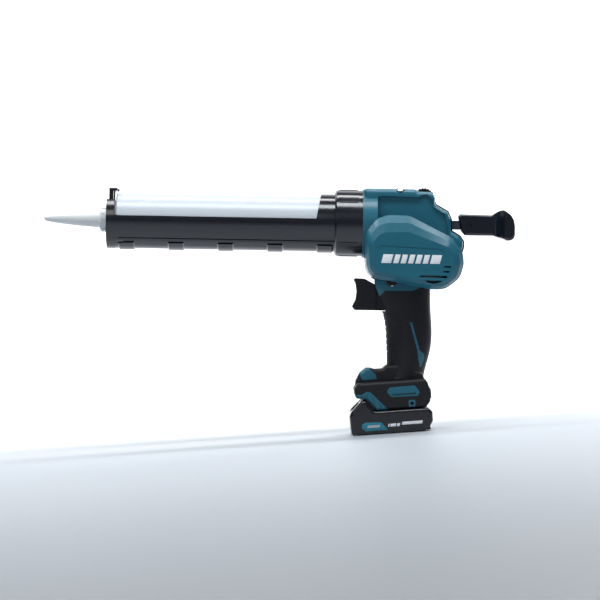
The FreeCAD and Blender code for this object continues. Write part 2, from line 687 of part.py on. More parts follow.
def build_motor():
    start = PLATE_IN
    end = start + S.gearbox_length
    box = cylinder("y", OUTPUT, start, end, S.gearbox_radius)
    box = box.cut(cylinder("y", OUTPUT, start - 1, start + 9.0, 2.5 + S.bearing_gap))
    for i in range(3):
        groove_y = start + 5 + 5.5 * i
        box = box.cut(ring("y", OUTPUT, groove_y, groove_y + 1.0, S.gearbox_radius + 1,
                           S.gearbox_radius - 0.6))
    box = box.cut(cylinder("y", OUTPUT, end - 3.0, end + 1, 3.4))
    feature("planetary_gearbox", box)
    motor_end = end + S.motor_length
    can = ring("y", OUTPUT, end, motor_end, S.motor_radius, S.motor_radius - S.motor_wall)
    for side in (0, 1):
        vent = block(-3, 3, motor_end - 8, motor_end - 4, S.motor_radius - 3, S.motor_radius + 3)
        vent.rotate(V(0, 0, 0), Y_AXIS, 180 * side)
        vent.translate(V(OUTPUT[0], 0, OUTPUT[1]))
        can = can.cut(vent)
    feature("motor_can", can)
    magnet_out = S.motor_radius - S.motor_wall
    magnet = ring("y", OUTPUT, end + 3, motor_end - 9, magnet_out, magnet_out - 3.2)
    magnets = []
    for side in (-1, 1):
        x_low, x_high = sorted((OUTPUT[0] + side * 4, OUTPUT[0] + side * 30))
        magnets += magnet.common(block(x_low, x_high, -60, 60, OUTPUT[1] - 40, OUTPUT[1] + 40)).Solids
    feature("motor_magnets", Part.makeCompound(magnets))
    core = magnet_out - 3.2 - 0.5
    rotor = cylinder("y", OUTPUT, end + 4, motor_end - 10, core)
    for i in range(3):
        slot = block(-1, 1, 0, 80, core - 2.2, core + 1)
        slot.rotate(V(0, 0, 0), Y_AXIS, 120 * i)
        slot.translate(V(OUTPUT[0], 0, OUTPUT[1]))
        rotor = rotor.cut(slot)
    rotor = rotor.fuse(cylinder("y", OUTPUT, end - 2.0, motor_end - 1.6, 1.6))
    rotor = rotor.fuse(cylinder("y", OUTPUT, motor_end - 8.5, motor_end - 4.5, 4.0))
    feature("motor_rotor", rotor)
    cap = ring("y", OUTPUT, motor_end - 3.5, motor_end, magnet_out, 1.6 + S.bearing_gap)
    cap = cap.fuse(ring("y", OUTPUT, motor_end, motor_end + 0.6, S.motor_radius - 1, 1.6 + S.bearing_gap))
    for side in (-1, 1):
        low, high = sorted((OUTPUT[0] + side * 8, OUTPUT[0] + side * 11))
        cap = cap.fuse(block(low, high, motor_end - 8.4, motor_end - 3.5, OUTPUT[1] - 2, OUTPUT[1] + 2))
    feature("motor_end_cap", cap)


# ---------------------------------------------------------------- casing and grip
def inset_points(points, distance):
    """A closed outline with every side moved inwards by distance."""
    count = len(points)
    area = sum(points[i][0] * points[(i + 1) % count][1] - points[(i + 1) % count][0] * points[i][1]
               for i in range(count))
    turn = 1.0 if area > 0 else -1.0
    sides = []
    for i in range(count):
        (x1, z1), (x2, z2) = points[i], points[(i + 1) % count]
        length = math.hypot(x2 - x1, z2 - z1)
        ux, uz = (x2 - x1) / length, (z2 - z1) / length
        sides.append((x1 - uz * turn * distance, z1 + ux * turn * distance, ux, uz))
    moved = []
    for i in range(count):
        x1, z1, ux, uz = sides[i - 1]
        x2, z2, vx, vz = sides[i]
        across = ux * vz - uz * vx
        along = ((x2 - x1) * vz - (z2 - z1) * vx) / across
        moved.append((x1 + ux * along, z1 + uz * along))
    return moved


def soft_wire(points, corner, y):
    """A closed outline in the plane y with its corners rounded by arcs that meet the sides smoothly."""
    count = len(points)
    spans = []
    for i in range(count):
        here = V(points[i][0], y, points[i][1])
        before = V(points[i - 1][0], y, points[i - 1][1]) - here
        after = V(points[(i + 1) % count][0], y, points[(i + 1) % count][1]) - here
        room = 0.48 * min(before.Length, after.Length)
        half = before.getAngle(after) / 2
        back = min(corner / math.tan(half), room)
        radius = back * math.tan(half)
        before.normalize()
        after.normalize()
        middle = (before + after).normalize()
        peak = here + middle * (radius / math.sin(half) - radius)
        spans.append((here + before * back, peak, here + after * back))
    edges = []
    for i in range(count):
        start, peak, end = spans[i]
        edges.append(Part.Arc(start, peak, end).toShape())
        edges.append(Part.LineSegment(end, spans[(i + 1) % count][0]).toShape())
    return Part.Wire(edges)


def soft_prism(points, half, inset=0.0, corner=3.0, rim=0.0):
    """A prism across the tool, rounded at its corners and, with rim, around its two side faces."""
    outline = inset_points(points, inset) if inset else points
    reach = half - inset
    solid = Part.Face(soft_wire(outline, corner, -reach)).extrude(V(0, 2 * reach, 0))
    if rim:
        solid = rounded(solid, rim, lambda e: abs(abs(e.CenterOfMass.y) - reach) < 1e-4)
    return solid


UPPER = [(-26.3, 33.3), (23.0, 33.3), (26.6, 31.0), (37.4, 31.0), (40.6, 28.8), (42.2, 25.6),
         (42.2, 18.8), (54.6, 11.8), (57.6, 4.9),
         (58.2, -6.4), (66.6, -11.6), (69.8, -16.4), (69.8, -21.0), (66.0, -34.0), (-26.3, -34.0)]
PANEL = [(-12.6, 26.4), (26.7, 25.6), (29.6, 28.4), (34.9, 28.7), (39.4, 23.5), (40.2, 17.2), (52.2, 9.2),
         (56.0, -6.0), (56.0, -24.0), (-12.6, -24.0)]
BULGE = [(-25.1, -10.5), (-14.0, 3.6), (-3.0, 7.4), (17.1, 7.2)]
BULGE += [(OUTPUT[0] + x * S.gearbox_radius, OUTPUT[1] + z * S.gearbox_radius) for x, z in
          ((1.03, 1.42), (1.59, 0.73), (1.68, 0.04), (1.47, -0.71), (0.69, -1.33), (-0.11, -1.32))]
BULGE += [(12.3, -57.3), (-22.4, -52.2)]
BULGE_HALF = PLATE_IN + S.gearbox_length + S.motor_length + 0.6 + S.motor_room + S.casing_wall
# How far each corner of the bulge comes in from its rim to the flat face, and where the ridge is.
FACE_STEPS = ((6.8, -10.5), (1.5, -16.0), (-3.0, -17.0), (-0.7, -15.8), (-4.4, -9.0), (-9.5, -3.0),
              (-8.8, 0.0), (-8.3, 1.2), (-2.8, 6.3), (-1.0, 7.8), (-1.7, 6.0), (6.6, 6.2))
FACE = [(x + dx, z + dz) for (x, z), (dx, dz) in zip(BULGE, FACE_STEPS)]
RIDGE = [(x + 0.45 * dx, z + 0.45 * dz) for (x, z), (dx, dz) in zip(BULGE, FACE_STEPS)]
FACE_RISE = 10.0
RIDGE_DROP = 3.4
BADGE = [(-14.6, -25.6), (-10.0, -21.6), (48.0, -24.4), (53.0, -30.0), (51.0, -42.6), (46.0, -44.0),
         (-9.4, -42.6)]
BULGE_CORNER = 15.5
NECK_EDGE = [(-40, -40), (70, -40), (70, -62.8), (39.9, -62.8), (30.2, -60.8), (22.5, -64.6), (-4.0, -64.8),
             (-9.0, -70.0), (-11.6, -76.0), (-18, -80), (-40, -80)]
GRIP_REACH = S.barrel_height - 51.0
HANDLE = ((-52.0, -18.0, 39.5, 16.8), (-66.0, -15.5, 40.2, 16.8), (-0.613 * GRIP_REACH, -4.3, 41.5, 16.4),
          (-0.78 * GRIP_REACH, -1.7, 41.6, 16.0), (-0.887 * GRIP_REACH, -1.0, 38.2, 16.4),
          (-GRIP_REACH, -5.5, 35.0, 17.5))
# The foot and what is in it, drawn up from the top of the battery in the row frame.
BATTERY_TOP = 2 * (S.battery_wall + S.cell_radius) + 1.0
CELL_STEP = 2 * S.cell_radius * 1.005
BATTERY_HALF = CELL_STEP + S.cell_radius + S.battery_wall + S.cell_side_room


def above_battery(points):
    return [(x, BATTERY_TOP + z) for x, z in points]


FOOT = above_battery([(-46.4, 22.6), (-42.6, 27.8), (22.2, 27.8), (24.4, 24.4), (27.3, 13.5), (25.8, 5.8),
                      (21.6, 0.6), (-26.1, 0.6), (-35.1, 11.7), (-45.6, 13.3)])
SADDLE = above_battery([(-45.0, 23.8), (-43.9, 30.2), (-39.4, 37.6), (-33.4, 42.0), (-29.0, 41.4),
                        (-25.0, 39.8), (-17.6, 39.8), (-13.6, 43.0), (4.0, 42.0), (20.0, 33.4),
                        (24.0, 23.8)])
SADDLE_HALF = 15.5
STRIP = [(20.1, -0.631 * GRIP_REACH), (22.4, -0.631 * GRIP_REACH), (30.4, -0.811 * GRIP_REACH),
         (34.9, -0.837 * GRIP_REACH), (34.9, -0.866 * GRIP_REACH), (32.3, -0.917 * GRIP_REACH),
         (30.5, -0.917 * GRIP_REACH), (27.9, -0.812 * GRIP_REACH)]
WEDGE = above_battery([(-50.0, 17.2), (-39.5, 16.7), (-34.5, 19.3), (-30.7, 18.1), (-14.4, -0.2),
                       (-30.0, -2.2), (-50.0, 7.8)])
LOZENGE = above_battery([(-15.4, 17.9), (-12.4, 21.8), (11.6, 22.1), (16.4, 15.7), (14.0, 12.0),
                         (-11.3, 12.5)])
LAMP_PATCH = above_battery([(-39.8, 35.5), (-37.8, 30.2), (-23.6, 30.2), (-24.6, 35.1), (-30.0, 40.0),
                            (-30.2, 47.8), (-37.6, 47.8)])
SCREW_PLACE = (8.0, BATTERY_TOP + 5.3)
DIAL = (32.2, 24.1)
DIAL_R = 11.2
LAMP = (8.6, -19.8, 31.7)
LAMP_LEAN = 30.0
LAMP_R = 4.2
BOLT = (2.3, -53.8)
BOLT_R = 6.2
TONGUE_LOW = BATTERY_TOP + 4.8
CHANNEL_TOP = BATTERY_TOP + 12.0
FLOOR = CHANNEL_TOP + 2.8
BOSSES = ((-14.5, -44.0), (OUTPUT[0] + S.gearbox_radius + 5.2, OUTPUT[1] + 5.8), (-12.0, 22.5),
          (16.5, 21.5), (26.0, -0.68 * GRIP_REACH))
FOOT_BOSS = (15.0, BATTERY_TOP + 20.8)


def handle_solid(inset):
    wires = []
    for z, front, rear, half in HANDLE:
        oval = Part.Ellipse(V((front + rear) / 2, 0, z), (rear - front) / 2 - inset, half - inset)
        wires.append(Part.Wire(oval.toShape()))
    return Part.makeLoft(wires, True, False)


def foot_solid(inset, rim=0.0):
    base = soft_prism(FOOT, S.foot_half_width, inset, corner=2.5, rim=rim)
    saddle = soft_prism(SADDLE, SADDLE_HALF, inset, corner=3.0, rim=rim)
    return to_head(base.fuse(saddle))


def upper_solid(inset, rim):
    body = soft_prism(UPPER, S.head_half_width, inset, corner=3.0, rim=rim)
    ring_r = FRONT_RING - inset
    front = S.collar_rear + 0.2 + (0.0 if not inset else -4.0)
    nose = cylinder("x", (0, 0), front, -13.0 - inset / 2, ring_r)
    cone = Part.makeCone(ring_r, S.head_half_width - inset, 9.0, V(-13.0 - inset / 2, 0, 0), V(1, 0, 0))
    return body.fuse([nose, cone])


def bulge_solid(inset):
    """The deep side cover: a prism with a two-step bevel up to a flat face on each side."""
    rim = inset_points(BULGE, inset) if inset else BULGE
    face = inset_points(FACE, 0.4 * inset) if inset else FACE
    shoulder = BULGE_HALF - FACE_RISE - 0.6 * inset
    stages = [(rim, shoulder, BULGE_CORNER - inset), (face, BULGE_HALF - inset, 8.0)]
    if not inset:
        stages.insert(1, (RIDGE, BULGE_HALF - RIDGE_DROP, 11.0))
    solid = Part.Face(soft_wire(rim, BULGE_CORNER - inset, -shoulder)).extrude(V(0, 2 * shoulder, 0))
    for (low, low_y, low_r), (high, high_y, high_r) in zip(stages, stages[1:]):
        step = Part.makeLoft([soft_wire(low, low_r, low_y), soft_wire(high, high_r, high_y)], True, True)
        solid = solid.fuse([step, mirrored(step)])
    return solid


def casing_core():
    """The teal moulding before it is parted: outside, cavity, openings and raised islands."""
    skin = S.grip_skin
    upper = upper_solid(0.0, 5.0)
    upper = upper.cut(block(-400, S.collar_rear + 0.2, -60, 60, -60, 60))
    for side in (-1, 1):
        low, high = sorted((side * (S.head_half_width - S.panel_depth), side * 60))
        panel = Part.Face(soft_wire(PANEL, 2.5, low)).extrude(V(0, high - low, 0))
        upper = upper.cut(panel)
    bulge = bulge_solid(0.0)
    outer_handle = handle_solid(0.0)
    neck = outer_handle.common(prism(NECK_EDGE, -40, 40))
    core = upper.fuse([bulge, handle_solid(skin), neck])
    core = core.fuse(foot_solid(skin))
    foot_outer = foot_solid(0.0, 3.4)
    islands = [foot_outer.common(to_head(prism(WEDGE, -60, 60))),
               foot_outer.common(to_head(prism(LAMP_PATCH, -60, 60))),
               foot_outer.common(to_head(Part.Face(soft_wire(LOZENGE, 2.0, -60)).extrude(V(0, 60, 0)))),
               outer_handle.common(prism(STRIP, -40, 40))]
    square = soft_wire(square_points(), 1.0, -60)
    islands.append(foot_outer.common(to_head(Part.Face(square).extrude(V(0, 120, 0)))))
    core = core.fuse(islands)
    return core


def square_points():
    x, z = SCREW_PLACE
    return [(x - 3.2, z - 3.4), (x + 3.2, z - 3.4), (x + 3.2, z + 3.2), (x - 3.2, z + 3.2)]


def casing_cavity():
    wall = S.casing_wall
    upper = soft_prism(UPPER, S.head_half_width - S.panel_depth, wall, corner=1.5)
    bulge = bulge_solid(wall)
    handle = handle_solid(S.grip_skin + wall)
    handle = handle.common(block(-60, 80, -60, 60, 1 - GRIP_REACH, -50))
    room = above_battery([(-39.0, 14.8), (-39.0, 24.8), (-33.0, 24.8), (-30.0, 35.8), (-20.0, 34.8),
                          (17.5, 28.8), (21.0, 22.8), (22.0, 14.8)])
    foot = prism(room, -S.foot_half_width + 4.6, S.foot_half_width - 4.6)
    foot = foot.common(block(-60, 60, -60, 60, 0, BATTERY_TOP + 22.8).fuse(block(-60, 60, -11, 11, 0, 120)))
    return [upper, bulge, handle, to_head(foot)]


def battery_channel(gap):
    """The T-shaped way the battery's tongue slides in. Open to the front, drawn in the row frame."""
    wide, neck = S.tongue_half + gap, S.tongue_neck + gap
    shape = block(-80, 18.0 + gap, -wide, wide, TONGUE_LOW - gap, CHANNEL_TOP - 0.4 + gap)
    return shape.fuse(block(-80, 18.0 + gap, -neck, neck, BATTERY_TOP - 2.0, TONGUE_LOW + 1.0))


def latch_way():
    """The way the latch's hook takes when the battery slides off. Row frame."""
    return block(-60, -26.0, -12.6, 12.6, BATTERY_TOP - 2.0, BATTERY_TOP + 15.3)


def boss_ends(x, z):
    """How far a screw boss reaches to each side inside the casing, and where its screw head sits."""
    if z > 0:
        return S.head_half_width - S.panel_depth
    if z < -80:
        return HANDLE[3][3] - 2.0
    return BULGE_HALF - 2.0


def build_casing():
    shape = casing_core()
    shape = shape.cut(casing_cavity())
    outside = shape_outside()
    bosses = [cylinder("y", at, -boss_ends(*at), boss_ends(*at), 3.4) for at in BOSSES]
    foot_boss = to_head(cylinder("y", FOOT_BOSS, -S.foot_half_width + 3, S.foot_half_width - 3, 3.4))
    cradle_y = PLATE_IN + S.gearbox_length + 0.6
    cradle = block(22, 80, cradle_y, cradle_y + 1.8, -70, -20)
    cradle = cradle.cut(cylinder("y", OUTPUT, 0, 60, S.motor_radius + 0.4))
    cradle = cradle.common(soft_prism(BULGE, BULGE_HALF - FACE_RISE, 1.0, corner=BULGE_CORNER))
    shape = shape.fuse(Part.makeCompound(bosses + [foot_boss]).common(outside).Solids + [cradle])

    tools = [cylinder("x", (0, 0), -60, -14.0, SOCKET_R)]
    tools.append(block(40, 80, -rack_hole("y") - 0.4, rack_hole("y") + 0.4, -rack_hole("z") - 0.4,
                       rack_hole("z") + 0.4))
    tools.append(cylinder("y", DIAL, -4.6, 4.6, DIAL_R + 0.5))
    tools.append(cylinder("y", DIAL, -7.4, 7.4, 2.3))
    tools.append(lamp_at(-3.2, 9.0, LAMP_R))
    tools.append(cylinder("y", BOLT, -30, 30, BOLT_R + S.running_gap))
    tools.append(trigger_way(S.trigger_gap))
    tools.append(to_head(battery_channel(S.rail_gap)))
    tools.append(to_head(latch_way()))
    tools.append(to_head(terminal_box()))
    tools.append(to_head(cylinder("y", SCREW_PLACE, -60, -S.foot_half_width + 9.0, S.hook_thread)))
    tools.append(to_head(cylinder("y", SCREW_PLACE, S.foot_half_width - 9.0, 60, S.hook_thread)))
    skin_slot = block(-10.4, 12.6, -60, -S.foot_half_width + 1.6, BATTERY_TOP + 13.6, BATTERY_TOP + 15.4)
    tools.append(to_head(skin_slot))
    for side in (-1, 1):
        low, high = sorted((side * (BULGE_HALF - 0.4), side * 60))
        tools.append(Part.Face(soft_wire(BADGE, 4.0, low)).extrude(V(0, high - low, 0)))
    tools.append(to_head(lamp_cylinder(6.0, 5.2, 3.0)))
    tools.append(bumper_blank())
    for slot in vent_slots():
        tools.append(slot)
    for side in (-1, 1):
        for i in range(5):
            x = -44.0 + 5.0 * i
            low, high = sorted((side * (S.foot_half_width - 0.8), side * 60))
            rib = block(x, x + 1.2, low, high, BATTERY_TOP - 2.0, BATTERY_TOP + 24.0)
            rib.rotate(V(x, 0, BATTERY_TOP + 11.0), Y_AXIS, -12)
            wedge = prism(inset_points(WEDGE, 1.4), low, high)
            tools.append(to_head(rib.common(wedge)))
    shape = shape.cut(tools)

    screws = []
    for at in BOSSES:
        reach = boss_ends(*at)
        head_y = min(reach - 1.5, right_face(at))
        shape = shape.cut(cylinder("y", at, -reach + 3.0, 60, S.screw_radius))
        shape = shape.cut(cylinder("y", at, head_y, 60, S.screw_head + 0.2))
        length = min(30.0, head_y + reach - 3.0)
        screws.append(screw(V(at[0], head_y, at[1]), V(0, -1, 0), length))
    reach = S.foot_half_width
    shape = shape.cut(to_head(cylinder("y", FOOT_BOSS, -reach + 7, 60, S.screw_radius)))
    shape = shape.cut(to_head(cylinder("y", FOOT_BOSS, reach - 5.0, 60, S.screw_head + 0.2)))
    x, z = FOOT_BOSS
    screws.append(to_head(screw(V(x, reach - 5.0, z), V(0, -1, 0), 40.0)))

    left = shape.common(block(-80, 120, -80, 0, -220, 80))
    right = shape.common(block(-80, 120, 0, 80, -220, 80))
    feature("casing_left", biggest(left))
    feature("casing_right", biggest(right))
    feature("casing_screws", Part.makeCompound(screws))


def shape_outside():
    """The whole outer form as one solid, used to trim what is added inside."""
    parts = [upper_solid(0.5, 0.0), bulge_solid(0.5), handle_solid(S.grip_skin + 0.5)]
    return foot_solid(S.grip_skin + 0.5).fuse(parts)


def biggest(shape):
    return max(shape.Solids, key=lambda s: s.Volume)


def right_face(at):
    """Where a screw's head seats below the right side at this place."""
    x, z = at
    if z > 0:
        return S.head_half_width - S.panel_depth - 2.4
    if z < -80:
        return 10.5
    return 26.0 if x < 0 else 30.0


def vent_slots():
    """Air slots at the lower rear of both sides of the bulge: two short, one long and a half moon."""
    outlines = []
    rows = ((50.6, 57.5, -41.4, 1.8), (49.4, 56.3, -46.0, 1.8), (27.6, 53.9, -50.9, 2.2))
    for x_low, x_high, z, tall in rows:
        outlines.append([(x_low, z - tall / 2 + 0.5), (x_low + 0.5, z + tall / 2), (x_high, z + tall / 2),
                         (x_high - 0.6, z - tall / 2)])
    outlines.append([(32.0, -54.6), (49.4, -54.6), (45.6, -56.6), (40.8, -57.4), (35.6, -56.6)])
    slots = []
    for side in (-1, 1):
        low, high = sorted((side * 22.0, side * 60.0))
        slots += [prism(points, low, high) for points in outlines]
    return slots


def bumper_blank():
    """The band that the rear bumper fills, from below the dial round the lug under the rack."""
    outer = [(43.9, 21.5), (43.9, 19.9), (55.9, 13.2), (59.4, 5.4), (59.9, -5.4), (67.9, -10.2),
             (71.7, -15.9), (71.7, -21.6), (70.1, -27.0)]
    inner = [(67.0, -27.0), (67.8, -20.6), (67.8, -17.0), (65.4, -13.2), (56.4, -7.4), (55.8, 4.6),
             (53.2, 10.4), (41.0, 17.4), (40.6, 21.5)]
    return prism(outer + inner, -11.0, 11.0)


def build_grip():
    outer = handle_solid(0.0).fuse(foot_solid(0.0, 3.4))
    skin = outer.cut(handle_solid(S.grip_skin).fuse(foot_solid(S.grip_skin)))
    far = 60
    cuts = [prism(NECK_EDGE, -far, far), prism([(-60, -60), (90, -60), (90, 40), (-60, 40)], -far, far)]
    cuts.append(prism(STRIP, -40, 40))
    cuts.append(to_head(prism(WEDGE, -far, far)))
    cuts.append(to_head(prism(LAMP_PATCH, -far, far)))
    cuts.append(to_head(Part.Face(soft_wire(LOZENGE, 2.0, -far)).extrude(V(0, far, 0))))
    cuts.append(to_head(Part.Face(soft_wire(square_points(), 1.0, -far)).extrude(V(0, 2 * far, 0))))
    cuts.append(to_head(battery_channel(S.rail_gap)))
    cuts.append(to_head(latch_way()))
    cuts.append(trigger_way(S.trigger_gap))
    cuts.append(cylinder("y", BOLT, -30, 30, BOLT_R + S.running_gap))
    cuts.append(to_head(lamp_cylinder(6.0, 5.2, 3.0)))
    cuts.append(cylinder("y", BOSSES[-1], 0, far, S.screw_head + 0.2))
    cuts.append(to_head(cylinder("y", FOOT_BOSS, 0, far, S.screw_head + 0.2)))
    skin = skin.cut(cuts)
    for i in range(7):
        groove = block(-20, 60, -20, 20, -88.0 - 6.0 * i, -87.0 - 6.0 * i)
        groove = groove.cut(handle_solid(0.6)).common(block(-20, 14.0, -30, 30, -200, -80))
        skin = skin.cut(groove)
    feature("grip_left", biggest(skin.common(block(-80, 120, -80, 0, -220, 0))))
    feature("grip_right", biggest(skin.common(block(-80, 120, 0, 80, -220, 0))))
    opening = block(40, 80, -rack_hole("y") - 0.4, rack_hole("y") + 0.4, -rack_hole("z") - 0.4,
                    rack_hole("z") + 0.4)
    dial_way = cylinder("y", DIAL, -4.6, 4.6, DIAL_R + 0.5)
    feature("rear_bumper", bumper_blank().cut([opening, dial_way]))


# ---------------------------------------------------------------- controls
TRIGGER_FRONT = [(-35.4, -53.0), (-32.6, -58.0), (-31.4, -66.0), (-32.4, -74.0), (-35.8, -80.6),
                 (-33.0, -84.0), (-12.0, -84.0), (-12.0, -59.6), (-24.0, -53.4)]
TRIGGER_STEM = [(-14.0, -84.0), (6.0, -84.0), (6.0, -67.4), (-5.2, -67.4), (-5.2, -63.6), (-10.2, -60.6),
                (-14.0, -60.6)]
TRIGGER_WAY = [(-40, -60.0), (-3.6, -60.0), (1.5, -63.1), (1.5, -84.5), (-40, -84.5)]
ROD_Z = -75.0


def trigger_way(gap):
    """The space the trigger sweeps inside the casing, with a gap all round."""
    half = S.trigger_half_width + gap
    stem = block(-40, 6.0 + S.trigger_travel + gap, -half, half, -84.0 - gap, -67.4 + gap)
    front = prism(TRIGGER_FRONT, -half, half)
    moved = front.copy()
    moved.translate(V(S.trigger_travel, 0, 0))
    upper = prism(TRIGGER_WAY, -half, half)
    slope = [(-40, -52.4), (-17.4, -52.4), (-5.6, -59.0), (-5.6, -62), (-40, -62)]
    return stem.fuse([front, moved, upper, prism(slope, -half, half)])


def build_trigger():
    front = soft_prism(TRIGGER_FRONT, S.trigger_half_width, corner=2.0, rim=1.6)
    stem = prism(TRIGGER_STEM, -S.trigger_half_width + 1.5, S.trigger_half_width - 1.5)
    rod = cylinder("x", (0, ROD_Z), 5.0, 15.0, 2.0)
    feature("trigger", front.fuse([stem, rod]))
    unit = block(13.5, 31.0, -7.4, 7.4, -88.0, -66.6)
    unit = unit.cut(cylinder("x", (0, ROD_Z), 13.0, 24.0, 2.4))
    feature("trigger_switch", unit)
    coil = Part.makeHelix(1.65, 6.6, 3.1)
    coil.rotate(V(0, 0, 0), Y_AXIS, 90)
    coil.translate(V(6.45, 0, ROD_Z))
    start = coil.Vertexes[0].Point
    ahead = coil.Edges[0].tangentAt(coil.Edges[0].FirstParameter)
    profile = Part.Wire(Part.Circle(start, ahead, 0.35).toShape())
    feature("trigger_spring", Part.Wire(coil.Edges).makePipeShell([profile], True, True))
    bolt = cylinder("y", BOLT, -19.6, 19.6, BOLT_R)
    bolt = rounded(bolt, 0.8, lambda e: abs(abs(e.CenterOfMass.y) - 19.6) < 0.01)
    bolt = bolt.cut(ring("y", BOLT, -7.0, 7.0, BOLT_R + 1, BOLT_R - 1.6))
    for side in (-1, 1):
        low, high = sorted((side * 12.0, side * 30.0))
        bolt = bolt.cut(block(-10, 20, low, high, BOLT[1] + 3.4, BOLT[1] + 10))
    feature("lock_off_button", bolt)


def build_dial():
    wheel = cylinder("y", DIAL, -4.0, 4.0, DIAL_R)
    cuts = []
    for i in range(24):
        angle = 2 * math.pi * i / 24
        at = (DIAL[0] + DIAL_R * math.cos(angle), DIAL[1] + DIAL_R * math.sin(angle))
        cuts.append(cylinder("y", at, -5, 5, 0.7))
    wheel = wheel.cut(cuts).fuse(cylinder("y", DIAL, -6.8, 6.8, 2.0))
    feature("speed_dial", wheel)
    pot = block(DIAL[0] - 6, DIAL[0] + 3, 7.5, 11.5, DIAL[1] - 7, DIAL[1] + 2.5)
    feature("dial_potentiometer", pot)


def terminal_box():
    return block(18.4, 21.0, -13.0, 13.0, BATTERY_TOP + 3.0, BATTERY_TOP + 11.4)


def lamp_cylinder(reach, radius, back):
    """A short cylinder that looks forward and up from the front of the foot's saddle."""
    at = V(-41.6, 0, BATTERY_TOP + 33.9)
    aim = V(-0.854, 0, 0.520)
    return Part.makeCylinder(radius, reach + back, at - aim * back, aim)


def lamp_at(low, high, radius, top=None):
    """A cylinder, or a cone to top, on the axis of the status lamp, which leans to the left."""
    lean = math.radians(LAMP_LEAN)
    aim = V(0, -math.sin(lean), math.cos(lean))
    base = V(*LAMP) + aim * low
    if top is None:
        return Part.makeCylinder(radius, high - low, base, aim)
    return Part.makeCone(radius, top, high - low, base, aim)


def build_lamps():
    """The status lamp in its raised bezel on the left shoulder, and the lamp at the front of the foot."""
    hole = LAMP_R - 1.6
    bezel = lamp_at(-3.0, 0.6, LAMP_R).fuse(lamp_at(0.6, 1.2, LAMP_R, top=LAMP_R - 0.6))
    feature("lamp_bezel", bezel.cut(lamp_at(-2.2, 9.0, hole)))
    lens = lamp_at(-2.2, 1.0, hole).fuse(lamp_at(1.0, 1.7, hole, top=hole - 0.9))
    feature("status_lamp", lens)
    feature("foot_lamp", to_head(lamp_cylinder(0.4, 5.2, 3.0)))


def wire_run(points, radius):
    curve = Part.BSplineCurve()
    curve.interpolate([V(*p) for p in points])
    path = Part.Wire(curve.toShape())
    ahead = curve.tangent(curve.FirstParameter)[0]
    profile = Part.Wire(Part.Circle(V(*points[0]), ahead, radius).toShape())
    return path.makePipeShell([profile], True, True)


def build_electrics():
    low, top = FLOOR + 2.0, FLOOR + 3.6
    board = block(-30.0, 8.0, -20.0, 20.0, low, top)
    parts = [block(-26, -14, -12, -2, top, top + 3.4), block(-10, 0, 4, 14, top, top + 2.4)]
    feature("circuit_board", board.fuse(parts), head=False)
    feature("terminal_block", terminal_box(), head=False)
    low, top = BATTERY_TOP + 3.8, BATTERY_TOP + 9.8
    blades = [block(9.0, 18.4, y - 0.4, y + 0.4, low, top) for y in (-9.0, 0.0, 9.0)]
    feature("terminal_blades", Part.makeCompound(blades), head=False)
    runs = []
    for side in (-1, 1):
        start = (14.0 + side * 1.5, side * 5.0, -GRIP_REACH)
        bends = [(13.0, side * 7.0, -0.893 * GRIP_REACH), (14.0, side * 7.6, -0.747 * GRIP_REACH)]
        runs.append(wire_run([start, *bends, (20.0, side * 5.0, -90.5)], 1.1))
    feature("supply_wires", Part.makeCompound(runs))


# ---------------------------------------------------------------- battery
BATTERY = [(-50.2, 0.0), (18.0, 0.0), (23.2, 3.4), (27.0, 9.5)]
BATTERY += above_battery([(27.1, -4.0), (23.6, 0.0), (-28.0, 0.0), (-36.0, 10.4), (-40.2, 11.0),
                          (-51.0, 0.6), (-52.6, -3.3)])
BATTERY += [(-52.0, 3.0)]
SPLIT_Z = 0.585 * BATTERY_TOP


